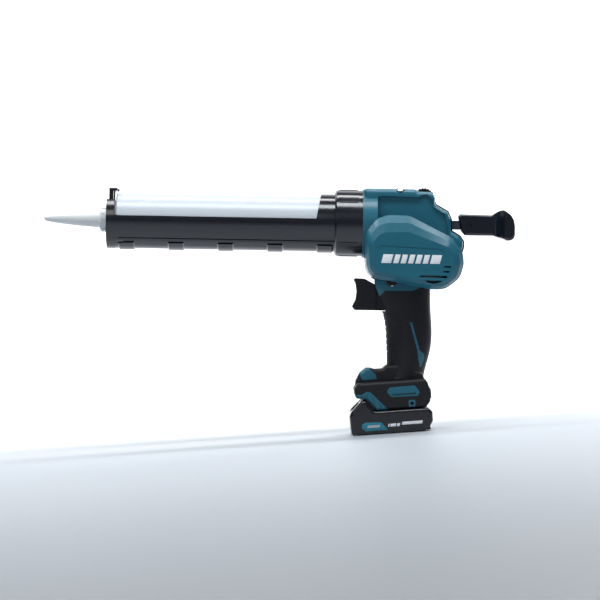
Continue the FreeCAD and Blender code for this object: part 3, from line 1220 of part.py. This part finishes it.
def build_battery():
    wall = S.battery_wall
    outer = soft_prism(BATTERY, BATTERY_HALF, corner=2.2, rim=3.0)
    roof = BATTERY_TOP - wall - 0.1
    room = [(-49.5, wall), (20.0, wall), (24.0, 6.0), (24.8, roof - 3.6), (22.0, roof), (-50.0, roof)]
    cavity = prism(room, -BATTERY_HALF + wall, BATTERY_HALF - wall)
    neck = block(-36.0, 17.6, -S.tongue_neck, S.tongue_neck, BATTERY_TOP - 1.2, TONGUE_LOW + 1.0)
    tongue = block(-36.0, 17.6, -S.tongue_half, S.tongue_half, TONGUE_LOW, CHANNEL_TOP - 0.6)
    low, top = BATTERY_TOP + 3.2, BATTERY_TOP + 10.4
    slots = [block(5.0, 20.0, y - 0.9, y + 0.9, low, top) for y in (-9.0, 0.0, 9.0)]
    shape = outer.cut(cavity)
    button = block(-60.0, -41.3, -11.2, 11.2, BATTERY_TOP, BATTERY_TOP + 18.0)
    latch = block(-42.0, -31.0, -8.4, 8.4, BATTERY_TOP, BATTERY_TOP + 18.0)
    upper = shape.common(block(-80, 80, -60, 60, SPLIT_Z, 60)).fuse([neck, tongue])
    upper = upper.cut(slots + [button, latch])
    lower = shape.common(block(-80, 80, -60, 60, -5, SPLIT_Z))
    places = [(x, side * (BATTERY_HALF - 3.1)) for x in (-47.6, 22.3) for side in (-1, 1)]
    screws = []
    posts = [cylinder("z", at, wall, roof + 0.1, 1.9) for at in places]
    upper = upper.fuse([p.common(block(-80, 80, -60, 60, SPLIT_Z, 60)) for p in posts])
    lower = lower.fuse([p.common(block(-80, 80, -60, 60, 0, SPLIT_Z)) for p in posts])
    for at in places:
        lower = lower.cut(cylinder("z", at, -1, 30, 1.3)).cut(cylinder("z", at, -1, 1.0, 2.0))
        upper = upper.cut(cylinder("z", at, 0, roof - 1.1, 1.3))
        shank = cylinder("z", at, 1.0, roof - 2.6, 1.3)
        screws.append(shank.fuse(cylinder("z", at, 0.2, 1.0, 2.0)))
    feature("battery_case_lower", lower, head=False)
    feature("battery_case_upper", upper, head=False)
    feature("battery_screws", Part.makeCompound(screws), head=False)
    cells, straps = [], []
    mid_z = wall + S.cell_radius + 0.2
    first = -45.8
    for i in (-1, 0, 1):
        y = CELL_STEP * i
        can = cylinder("x", (y, mid_z), first, first + S.cell_length, S.cell_radius)
        cap = cylinder("x", (y, mid_z), first + S.cell_length, first + S.cell_length + 0.8, 3.2)
        cells.append(can.fuse(cap))
    feature("battery_cells", Part.makeCompound(cells), head=False)
    straps.append(block(first - 0.4, first, -CELL_STEP - 4, 4, mid_z - 3.5, mid_z + 3.5))
    end = first + S.cell_length + 0.8
    straps.append(block(end, end + 0.4, -4, CELL_STEP + 4, mid_z - 3.5, mid_z + 3.5))
    feature("cell_straps", Part.makeCompound(straps), head=False)
    pad = prism(above_battery([(-50.7, 2.6), (-41.6, 2.6), (-41.6, 8.8), (-44.2, 8.4)]), -10.9, 10.9)
    hook = prism(above_battery([(-42.0, 2.6), (-31.4, 2.6), (-31.4, 13.6), (-33.0, 14.2), (-36.0, 14.2),
                                (-42.0, 5.8)]), -8.0, 8.0)
    feature("battery_latch", pad.fuse(hook), head=False)


# ---------------------------------------------------------------- belt hook
def build_hook():
    """A bent steel strip on the right side of the foot, held by one screw."""
    side = S.foot_half_width
    thick, gap, rear, front = 1.6, 10.0, 30.4, -8.0
    radius = gap / 2 + thick
    low, high = BATTERY_TOP + 1.6, BATTERY_TOP + 21.6

    def bend(r):
        mid = side + thick + gap / 2
        arc = Part.Arc(V(rear - radius, mid - r, low), V(rear - radius + r, mid, low),
                       V(rear - radius, mid + r, low)).toShape()
        return arc, mid

    outer_arc, mid = bend(radius)
    inner_arc, mid = bend(radius - thick)
    y0, y1, y2, y3 = mid - radius, mid - radius + thick, mid + radius - thick, mid + radius
    x_in = rear - radius
    edges = [outer_arc, inner_arc,
             Part.LineSegment(V(3.0, y0, low), V(x_in, y0, low)).toShape(),
             Part.LineSegment(V(3.0, y0, low), V(3.0, y1, low)).toShape(),
             Part.LineSegment(V(3.0, y1, low), V(x_in, y1, low)).toShape(),
             Part.LineSegment(V(x_in, y2, low), V(front, y2, low)).toShape(),
             Part.LineSegment(V(front, y2, low), V(front - 3.0, y2 + 4.0, low)).toShape(),
             Part.LineSegment(V(front - 3.0, y2 + 4.0, low), V(front - 3.0, y3 + 4.0, low)).toShape(),
             Part.LineSegment(V(front - 3.0, y3 + 4.0, low), V(front - 0.7, y3, low)).toShape(),
             Part.LineSegment(V(front - 0.7, y3, low), V(x_in, y3, low)).toShape()]
    wire = Part.Wire(Part.__sortEdges__(edges))
    strip = Part.Face(wire).extrude(V(0, 0, high - low))
    outline = [(-20, low), (22.0, low), (31.0, low + 5.6), (31.0, high - 7.6), (26.0, high), (-6.0, high),
               (-20, high - 14.0)]
    strip = strip.common(prism(outline, 0, 80))
    at = SCREW_PLACE
    strip = strip.cut(cylinder("y", at, side - 1, y1 + 1, S.hook_thread + 0.05))
    strip = strip.cut(cylinder("y", at, y2 - 1, y3 + 6, 4.2))
    feature("belt_hook", strip, head=False)
    bolt = Part.makeCylinder(S.hook_thread, 9.0, V(at[0], y1, at[1]), V(0, -1, 0))
    bolt = bolt.fuse(cylinder("y", at, y1, y1 + 2.2, 3.2))
    feature("hook_screw", bolt, head=False)


build_cartridge()
build_nozzle()
build_holder()
build_front_plate()
build_collar()
socket_screws = build_socket()
build_rack()
build_gears()
build_frame(socket_screws)
build_motor()
build_casing()
build_grip()
build_trigger()
build_dial()
build_lamps()
build_electrics()
build_battery()
build_hook()

doc.recompute()
faults = [o.Name for o in doc.Objects if "Invalid" in o.State or "Error" in o.State]
faults += [n.Label for n in NODES if n.Shape.isNull() or not n.Shape.isValid()]
if faults:
    raise RuntimeError(f"not built: {faults}")
os.makedirs("parts", exist_ok=True)
for item in NODES:
    item.Shape.exportStep(f"parts/{item.Label}.step")
    print(f"{item.Label:24s} {len(item.Shape.Solids)} solids {item.Shape.Volume:10.0f} mm3")
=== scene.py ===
# %% [markdown]
# # A cordless caulking gun
#
# The solid parts of the tool come from the engineering model, already in place and in metres. This
# lesson gives every one of them its finish, adds the printed details that are too fine for the
# engineering model, and sets up a soft product-studio light.

# %% Load the frame
import bpy, math
from mathutils import Vector, Matrix


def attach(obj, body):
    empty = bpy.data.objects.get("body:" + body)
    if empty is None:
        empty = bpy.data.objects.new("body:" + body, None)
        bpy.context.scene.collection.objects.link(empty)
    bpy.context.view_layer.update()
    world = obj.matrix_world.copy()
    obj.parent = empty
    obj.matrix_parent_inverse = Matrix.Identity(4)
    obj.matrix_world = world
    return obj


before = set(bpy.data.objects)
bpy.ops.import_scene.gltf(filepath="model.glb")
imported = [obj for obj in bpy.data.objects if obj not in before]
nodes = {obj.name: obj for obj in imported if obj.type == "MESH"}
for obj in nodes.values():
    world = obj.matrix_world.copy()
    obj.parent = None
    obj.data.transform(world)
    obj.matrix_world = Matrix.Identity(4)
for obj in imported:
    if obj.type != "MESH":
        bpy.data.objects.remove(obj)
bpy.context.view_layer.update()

# %% [markdown]
# ## Shader maths as Python
#
# A material here is a small program. Wrapping a socket in a class lets `1 - mask * 0.5` add the
# Math nodes that it means, so a finish reads as one line instead of a page of node links.

# %% A socket that does arithmetic
class Sock:
    """A number that varies over a surface, as a node socket."""

    def __init__(self, mat, out):
        self.mat, self.out = mat, out

    def maths(self, operation, *others, flip=False):
        terms = [self, *others]
        if flip:
            terms.reverse()
        return self.mat.node("ShaderNodeMath", {"operation": operation}, dict(enumerate(terms)))

    def __add__(self, other): return self.maths("ADD", other)
    def __radd__(self, other): return self.maths("ADD", other)
    def __sub__(self, other): return self.maths("SUBTRACT", other)
    def __rsub__(self, other): return self.maths("SUBTRACT", other, flip=True)
    def __mul__(self, other): return self.maths("MULTIPLY", other)
    def __rmul__(self, other): return self.maths("MULTIPLY", other)
    def above(self, level): return self.maths("GREATER_THAN", level)


class Finish:
    """A node material that is written down line by line."""

    def __init__(self, name, **constants):
        self.material = bpy.data.materials.new(name)
        self.material.use_nodes = True
        self.tree = self.material.node_tree
        self.shader = self.tree.nodes["Principled BSDF"]
        self.coords = self.tree.nodes.new("ShaderNodeTexCoord").outputs["Object"]
        for socket, value in constants.items():
            self.shader.inputs[socket.replace("_", " ")].default_value = value

    def node(self, kind, settings, inputs, out=0):
        n = self.tree.nodes.new(kind)
        for key, value in settings.items():
            setattr(n, key, value)
        for key, value in inputs.items():
            value = value.out if isinstance(value, Sock) else value
            if isinstance(value, bpy.types.NodeSocket):
                self.tree.links.new(value, n.inputs[key])
            else:
                n.inputs[key].default_value = value
        return Sock(self, n.outputs[out])

    def axes(self, turn=(0, 0, 0), scale=(1, 1, 1)):
        """The three object coordinates, turned so that a pattern can follow the barrel."""
        mapped = self.node("ShaderNodeMapping", {},
                           {"Vector": self.coords, "Rotation": turn, "Scale": scale})
        split = self.node("ShaderNodeSeparateXYZ", {}, {0: mapped})
        n = split.out.node
        return mapped, [Sock(self, n.outputs[i]) for i in range(3)]

    def noise(self, per_metre, detail=2.0, rough=0.5, vector=None):
        return self.node("ShaderNodeTexNoise", {}, {"Vector": vector or self.coords, "Scale": per_metre,
                                                   "Detail": detail, "Roughness": rough})

    def mix(self, factor, first, second):
        """Two colours mixed; 6, 7 and output 2 are the node's colour sockets."""
        return self.node("ShaderNodeMix", {"data_type": "RGBA"},
                         {0: factor, 6: first, 7: second}, out=2)

    def bump(self, height, distance):
        normal = self.node("ShaderNodeBump", {},
                           {"Height": height, "Distance": distance, "Strength": 1.0})
        self.feed("Normal", normal)

    def feed(self, socket, value):
        self.tree.links.new(value.out, self.shader.inputs[socket])


TILT = math.radians(5.0)
HEAD = (0.0, TILT, 0.0)
print("shader helpers ready; the barrel leans by", round(math.degrees(TILT), 1), "degrees")

# %% [markdown]
# ## The moulded plastics
#
# The tool is mostly injection-moulded plastic. A mould is spark-eroded, so the parts carry a fine
# satin grain: a noise at about a third of a millimetre drives a slight bump and the roughness, and
# a much wider noise makes the colour uneven by up to a tenth. A third noise marks small scuffed
# patches, which are rougher than the rest.

# %% A recipe for moulded plastic
COLOUR_SPREAD = 0.10
SCUFF_LEVEL = 0.63


def moulded(name, colour, rough, grain=0.00003, grain_size=2600, shine=0.5, wear=0.08):
    f = Finish(name, IOR=1.5, Specular_IOR_Level=shine)
    wide = f.noise(22, detail=3.0)
    fine = f.noise(grain_size, detail=1.0)
    dark = [c * (1 - COLOUR_SPREAD) for c in colour] + [1]
    light = [min(1, c * (1 + COLOUR_SPREAD) + 0.002) for c in colour] + [1]
    f.feed("Base Color", f.mix(wide, dark, light))
    scuff = f.noise(160, detail=4.0, rough=0.7).above(SCUFF_LEVEL)
    f.feed("Roughness", (fine - 0.5) * 0.10 + (wide - 0.5) * 0.10 + scuff * wear + rough)
    f.bump(fine, grain)
    return f.material


teal = moulded("teal_casing_plastic", (0.012, 0.122, 0.178), 0.30, grain=0.000025)
elastomer = moulded("black_elastomer", (0.008, 0.008, 0.011), 0.50,
                    grain=0.00005, grain_size=1800, shine=0.32)
satin_black = moulded("satin_black_plastic", (0.006, 0.006, 0.010), 0.33, shine=0.42)
glossy_black = moulded("glossy_black_plastic", (0.005, 0.006, 0.011), 0.17,
                       grain=0.000006, shine=0.80, wear=0.05)
battery_black = moulded("battery_black_plastic", (0.006, 0.006, 0.009), 0.19,
                        grain=0.000008, shine=0.65, wear=0.06)
white_poly = moulded("white_plunger_plastic", (0.72, 0.74, 0.76), 0.35)
board_green = moulded("board_laminate", (0.01, 0.10, 0.03), 0.4)
jacket_red = moulded("wire_jacket", (0.35, 0.01, 0.01), 0.45)
wrap_green = moulded("cell_wrap", (0.02, 0.25, 0.10), 0.3)
print("plastics:", teal.name, elastomer.name, satin_black.name)

# %% [markdown]
# ## Cartridge and nozzle
#
# The cartridge is smooth white polyethylene: glossy, with faint drawn lines along its length. The
# nozzle is the same plastic, thin enough to let some light through.

# %% Cartridge and nozzle plastics
def drawn_white():
    f = Finish("cartridge_polyethylene", IOR=1.5, Subsurface_Weight=0.05)
    stretched, _ = f.axes(HEAD, (6, 900, 900))
    lines = f.noise(1.0, detail=2.0, vector=stretched.out)
    f.feed("Base Color", f.mix(lines, (0.53, 0.56, 0.60, 1), (0.61, 0.64, 0.68, 1)))
    f.feed("Roughness", lines * 0.12 + 0.20)
    f.bump(lines, 0.00002)
    return f.material


def milky():
    f = Finish("milky_nozzle_plastic", IOR=1.5, Transmission_Weight=0.18, Subsurface_Weight=0.35,
               Subsurface_Radius=(0.004, 0.004, 0.004))
    cloud = f.noise(90, detail=2.0)
    f.feed("Base Color", f.mix(cloud, (0.82, 0.84, 0.85, 1), (0.90, 0.92, 0.93, 1)))
    f.feed("Roughness", cloud * 0.1 + 0.30)
    f.bump(f.noise(1500), 0.00001)
    return f.material


cartridge_white, nozzle_milk = drawn_white(), milky()
print("cartridge finishes:", cartridge_white.name, nozzle_milk.name)

# %% [markdown]
# ## Metals
#
# The rack is finished as dark ground steel, so its scratches run along it. The small metal parts
# are zinc plated, blackened or sintered.

# %% Metals
def metal(name, colour, rough, stretch=(1, 1, 1), scratch=0.00001, turn=(0, 0, 0)):
    f = Finish(name, Metallic=1.0)
    mapped, _ = f.axes(turn, stretch)
    lines = f.noise(700, detail=3.0, vector=mapped.out)
    smear = f.noise(35, detail=2.0)
    dark = [c * 0.82 for c in colour] + [1]
    f.feed("Base Color", f.mix(smear, dark, [*colour, 1]))
    f.feed("Roughness", (lines - 0.5) * 0.22 + (smear - 0.5) * 0.12 + rough)
    f.bump(lines, scratch)
    return f.material


rack_steel = metal("ground_rack_steel", (0.115, 0.135, 0.15), 0.36, stretch=(0.02, 1, 1), turn=HEAD)
plated = metal("zinc_plated_steel", (0.60, 0.60, 0.58), 0.36)
gear_steel = metal("sintered_gear_steel", (0.30, 0.30, 0.31), 0.45)
cast_aluminium = metal("cast_aluminium", (0.62, 0.63, 0.65), 0.42)
blackened = metal("blackened_steel", (0.035, 0.035, 0.038), 0.40)
bronze = metal("sintered_bronze", (0.50, 0.30, 0.14), 0.42)
brass = metal("stamped_brass", (0.68, 0.47, 0.18), 0.30)
ferrite = metal("ferrite", (0.07, 0.07, 0.075), 0.6)
print("metals:", rack_steel.name, plated.name, blackened.name)

# %% [markdown]
# ## Lamp lenses
#
# The lamp at the front of the foot is off, so its clear lens only transmits and reflects. The status
# lamp on the shoulder is lit, so its lens also gives off a little light.

# %% Clear and lit lenses
def lens_finish():
    f = Finish("clear_lens", IOR=1.49, Transmission_Weight=0.6)
    ripple = f.noise(900)
    f.feed("Base Color", f.mix(ripple, (0.62, 0.66, 0.70, 1), (0.75, 0.78, 0.80, 1)))
    f.feed("Roughness", ripple * 0.1 + 0.08)
    return f.material


def lit_lens():
    f = Finish("lit_status_lens", IOR=1.49, Emission_Strength=1.6)
    ripple = f.noise(900)
    f.feed("Base Color", f.mix(ripple, (0.62, 0.66, 0.70, 1), (0.75, 0.78, 0.80, 1)))
    f.feed("Emission Color", f.mix(ripple, (0.80, 0.88, 0.92, 1), (0.95, 1.00, 1.00, 1)))
    f.feed("Roughness", ripple * 0.1 + 0.15)
    return f.material


lens, status_lens = lens_finish(), lit_lens()
print("lenses:", lens.name, status_lens.name)

# %% [markdown]
# ## Every part gets its finish
#
# One table names each finish and the parts that are made of it, as a parts list would. The hidden
# inner parts are dressed too, so that the model can be opened or shown in section.

# %% Dress the parts from the frame
DRESS = {
    teal: "casing_left casing_right",
    elastomer: "grip_left grip_right rear_bumper",
    glossy_black: "holder_trough holder_front_plate lock_collar pull_handle",
    satin_black: "lamp_bezel front_socket trigger lock_off_button speed_dial rack_guide trigger_switch "
                 "dial_potentiometer terminal_block motor_end_cap battery_latch",
    battery_black: "battery_case_lower battery_case_upper",
    cartridge_white: "cartridge_tube",
    nozzle_milk: "nozzle",
    white_poly: "cartridge_plunger",
    rack_steel: "rack",
    cast_aluminium: "push_plate",
    plated: "push_plate_screw frame_plate_left frame_plate_right frame_spacers frame_screws "
            "motor_can trigger_spring battery_screws",
    gear_steel: "pinion_shaft drive_gear idler_gear output_pinion idler_stud backing_roller roller_pin "
                "planetary_gearbox motor_rotor",
    bronze: "shaft_bushes",
    brass: "terminal_blades cell_straps",
    ferrite: "motor_magnets",
    blackened: "pull_handle_pin front_plate_screws casing_screws belt_hook hook_screw",
    lens: "foot_lamp",
    status_lens: "status_lamp",
    board_green: "circuit_board",
    jacket_red: "supply_wires",
    wrap_green: "battery_cells",
}


def dress(obj, material):
    obj.data.materials.clear()
    obj.data.materials.append(material)


dressed = 0
for material, names in DRESS.items():
    for name in names.split():
        dress(nodes[name], material)
        dressed += 1
print("dressed", dressed, "of", len(nodes), "parts")

# %% [markdown]
# ## Printed marks
#
# The casing and the battery carry white print and a coloured label. Their wording is left out: the
# marks are plain slanted blocks, raised by the thickness of the ink, in a shallow recess of the side.
#
# A mark starts as a flat n-gon with one corner for each corner of its outline. The corners are put in
# place, the face is extruded by the thickness of the print, and the front edges are bevelled.

# %% Millimetres, and an object in edit mode
MM = 0.001
BARREL_HEIGHT = 201.0
BADGE_FLOOR = 45.6
BATTERY_SIDE = 30.95


def in_row(x, y, z, on_head):
    """A point in metres, from millimetres along the leaning barrel or along the level floor."""
    if on_head:
        along = x * math.cos(TILT) + z * math.sin(TILT)
        up = BARREL_HEIGHT - x * math.sin(TILT) + z * math.cos(TILT)
        x, z = along, up
    return Vector((x, y, z)) * MM


def edit(obj, mode="FACE"):
    bpy.ops.object.select_all(action="DESELECT")
    obj.select_set(True)
    bpy.context.view_layer.objects.active = obj
    bpy.ops.object.mode_set(mode="EDIT")
    bpy.ops.mesh.select_mode(type=mode)


def done():
    bpy.ops.mesh.select_all(action="SELECT")
    bpy.ops.mesh.normals_make_consistent(inside=False)
    bpy.ops.object.mode_set(mode="OBJECT")


print("one millimetre is", MM, "m; the barrel axis is", BARREL_HEIGHT, "mm up")

# %% A printed plate from an outline
PLATE_SINK = 0.15
PLATE_BEVEL = 0.12


def plate(name, outline, side, face, rise, material, body, on_head=True):
    """A thin raised plate on the left (side -1) or right (side 1) of the tool."""
    bpy.ops.object.select_all(action="DESELECT")
    bpy.ops.mesh.primitive_circle_add(vertices=len(outline), radius=1, fill_type="NGON")
    obj = bpy.context.object
    obj.name = name
    for vertex, (x, z) in zip(obj.data.vertices, outline):
        vertex.co = in_row(x, side * (face - PLATE_SINK), z, on_head)
    edit(obj)
    bpy.ops.mesh.select_all(action="SELECT")
    outwards = (0, side * (PLATE_SINK + rise) * MM, 0)
    bpy.ops.mesh.extrude_region_move(TRANSFORM_OT_translate={"value": outwards})
    bpy.ops.mesh.bevel(offset=PLATE_BEVEL * MM, segments=2, affect="EDGES")
    done()
    bpy.ops.object.shade_smooth_by_angle(angle=math.radians(30))
    dress(obj, material)
    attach(obj, body)


def ink(name, colour, rough):
    f = Finish(name, IOR=1.5)
    patches = f.noise(300, detail=3.0)
    f.feed("Base Color", f.mix(patches, [c * 0.93 for c in colour] + [1], [*colour, 1]))
    f.feed("Roughness", patches * 0.12 + rough)
    f.bump(f.noise(3000), 0.000005)
    return f.material


white_ink = ink("white_ink", (0.86, 0.88, 0.90), 0.35)
label_teal = ink("label_teal", (0.02, 0.21, 0.29), 0.30)
label_grey = ink("label_grey", (0.46, 0.50, 0.54), 0.30)
print("inks:", white_ink.name, label_teal.name, label_grey.name)

# %% Marks on the sides of the casing
SLANT = 0.26
BLOCK_WIDTHS = (9.5, 5.0, 5.0, 5.0, 5.0, 5.0, 9.5)
BLOCK_GAP = 2.0
BLOCK_START = -9.5
BLOCK_Z = (-38.6, -30.2)
CASING_PRINT = 0.2
SIDES = ((-1, "left"), (1, "right"))


def slanted(x, width, z_low, z_high):
    lean = (z_high - z_low) * SLANT
    return [(x, z_low), (x + width, z_low), (x + width + lean, z_high), (x + lean, z_high)]


for side, word in SIDES:
    x = BLOCK_START
    for i, width in enumerate(BLOCK_WIDTHS):
        block = slanted(x, width, *BLOCK_Z)
        plate(f"casing_mark_{word}_{i}", block, side, BADGE_FLOOR, CASING_PRINT, white_ink, "tool_body")
        x += width + BLOCK_GAP
print("casing marks:", len(SIDES) * len(BLOCK_WIDTHS), "ending at", round(x, 1), "mm")

# %% Label and print on the battery
LABEL = [(-41.6, 6.8), (-38.0, 3.6), (-16.8, 3.8), (-22.6, 11.4), (-37.6, 12.0), (-41.3, 10.4)]
THIN_PRINT, BAR_PRINT = 0.12, 0.22


def on_battery(name, outline, side, rise, material):
    plate(name, outline, side, BATTERY_SIDE, rise, material, "battery_unit", on_head=False)


for side, word in SIDES:
    on_battery(f"battery_label_{word}", LABEL, side, THIN_PRINT, label_teal)
    on_battery(f"battery_label_bar_{word}", slanted(-36.5, 12.0, 6.6, 9.0), side, BAR_PRINT, label_grey)
    x = -16.6
    for i, width in enumerate((1.2, 5.4, 3.0)):
        on_battery(f"battery_print_{word}_{i}", slanted(x, width, 6.6, 9.4), side, THIN_PRINT, white_ink)
        x += width + 0.8
    on_battery(f"battery_print_bar_{word}", slanted(-3.2, 19.5, 7.6, 10.4), side, THIN_PRINT, white_ink)
print("battery label and print on both sides")

# %% [markdown]
# ## Studio
#
# A pale floor, with painted shade that makes it greyer in front of and under the tool, sweeps up
# into a white wall that glows softly, as a backdrop lit from behind does, so there is no edge behind
# the tool. It starts as a plane: its rear edge is extruded upwards, and the corner between floor and
# wall is bevelled into a curve.

# %% Floor and backdrop
floor_finish = Finish("studio_floor", Roughness=0.5, Emission_Strength=0.9)
_, (_, floor_y, _) = floor_finish.axes()
# Painted shade: the floor colour is grey in front of and under the tool, and fades to pale towards the
# back.
painted_shade_fade = floor_y * 1.2 + 0.1 + (floor_finish.noise(2.0) - 0.5) * 0.06
floor_finish.feed("Base Color", floor_finish.mix(painted_shade_fade, (0.44, 0.47, 0.51, 1), (0.86, 0.88, 0.90, 1)))
glow = floor_y * 0.5 - 0.15
floor_finish.feed("Emission Color", floor_finish.mix(glow, (0, 0, 0, 1), (0.96, 0.98, 1.0, 1)))
SWEEP_FROM, SWEEP_TO, WALL_TOP = -3.0, 3.8, 4.5
FLOOR_WIDTH, CORNER_RADIUS, CORNER_STEPS = 8, 1.0, 24
FLOOR_DROP = 0.0002
bpy.ops.object.select_all(action="DESELECT")
bpy.ops.mesh.primitive_plane_add(size=1, location=(0, 0, -FLOOR_DROP))
floor = bpy.context.object
floor.name = "studio_floor"
for vertex in floor.data.vertices:
    vertex.co = (FLOOR_WIDTH * vertex.co.x, SWEEP_TO if vertex.co.y > 0 else SWEEP_FROM, 0)
edit(floor, "EDGE")
bpy.ops.mesh.select_all(action="DESELECT")
bpy.ops.object.mode_set(mode="OBJECT")
for edge in floor.data.edges:
    edge.select = all(floor.data.vertices[i].co.y > 0 for i in edge.vertices)
bpy.ops.object.mode_set(mode="EDIT")
bpy.ops.mesh.extrude_region_move(TRANSFORM_OT_translate={"value": (0, 0, WALL_TOP)})
bpy.ops.object.mode_set(mode="OBJECT")
for edge in floor.data.edges:
    ends = [floor.data.vertices[i].co for i in edge.vertices]
    edge.select = all(end.y > 0 and abs(end.z) < 0.01 for end in ends)
bpy.ops.object.mode_set(mode="EDIT")
bpy.ops.mesh.bevel(offset=CORNER_RADIUS, segments=CORNER_STEPS, affect="EDGES")
bpy.ops.object.mode_set(mode="OBJECT")
bpy.ops.object.transform_apply(location=True, rotation=True, scale=True)
bpy.ops.object.shade_smooth_by_angle(angle=math.radians(30))
dress(floor, floor_finish.material)
print("floor from", SWEEP_FROM, "to", SWEEP_TO, "m, wall", WALL_TOP, "m high")

# %% [markdown]
# ## Lights
#
# One long soft light hangs overhead and draws the highlights along the top of the barrel. A second
# one stands high in front, a third washes the floor behind the tool, and a small one gives the rear
# edges a rim. The rest of the room is dim, so that black plastic stays black.

# %% Room and lights
ROOM_LIGHT = 0.14
world = bpy.data.worlds.new("studio_world")
bpy.context.scene.world = world
world.use_nodes = True
background = world.node_tree.nodes["Background"]
background.inputs["Color"].default_value = (0.80, 0.90, 1.0, 1)
background.inputs["Strength"].default_value = ROOM_LIGHT


def soft_light(name, place, aim, size, power, colour=(1, 1, 1)):
    data = bpy.data.lights.new(name, "AREA")
    data.shape = "RECTANGLE"
    data.size, data.size_y = size
    data.energy, data.color = power, colour
    lamp = bpy.data.objects.new(name, data)
    bpy.context.scene.collection.objects.link(lamp)
    lamp.location = place
    lamp.rotation_euler = (Vector(aim) - Vector(place)).to_track_quat("-Z", "Y").to_euler()


soft_light("overhead", (-0.1, -0.42, 1.15), (-0.1, 0, 0.15), (1.8, 0.28), 15, (0.93, 0.97, 1.0))
soft_light("front_key", (-0.5, -1.6, 1.0), (-0.1, 0, 0.15), (0.9, 0.6), 3.5)
soft_light("wall_wash", (-0.1, 0.35, 1.5), (-0.1, 1.6, 0.2), (2.4, 0.5), 34)
soft_light("rear_edge", (0.7, 0.9, 0.5), (0.0, 0, 0.18), (0.5, 0.7), 5)

print("soft lights:", len(bpy.data.lights))

# %% [markdown]
# ## Camera
#
# The camera stands level with the tool, on its left, and is rolled by the angle that the tool is
# held at. A long lens from a distance keeps the outline almost free of perspective.

# %% Camera
ROLL = math.radians(4.0)
LOOK_AT = Vector((-0.0922, 0.0, 0.1336))
DISTANCE, VIEW_WIDTH = 2.4, 0.582
SENSOR = 36
cam_data = bpy.data.cameras.new("studio_camera")
cam_data.sensor_width = SENSOR
cam_data.lens = SENSOR * DISTANCE / VIEW_WIDTH
cam = bpy.data.objects.new("studio_camera", cam_data)
bpy.context.scene.collection.objects.link(cam)
cam.location = LOOK_AT + Vector((0, -DISTANCE, 0))
aim = (LOOK_AT - cam.location).to_track_quat("-Z", "Y").to_matrix()
cam.rotation_euler = (aim @ Matrix.Rotation(-ROLL, 3, "Z")).to_euler()
bpy.context.scene.camera = cam
bpy.context.scene.view_settings.view_transform = "Standard"
print("camera lens", round(cam_data.lens, 1), "mm")
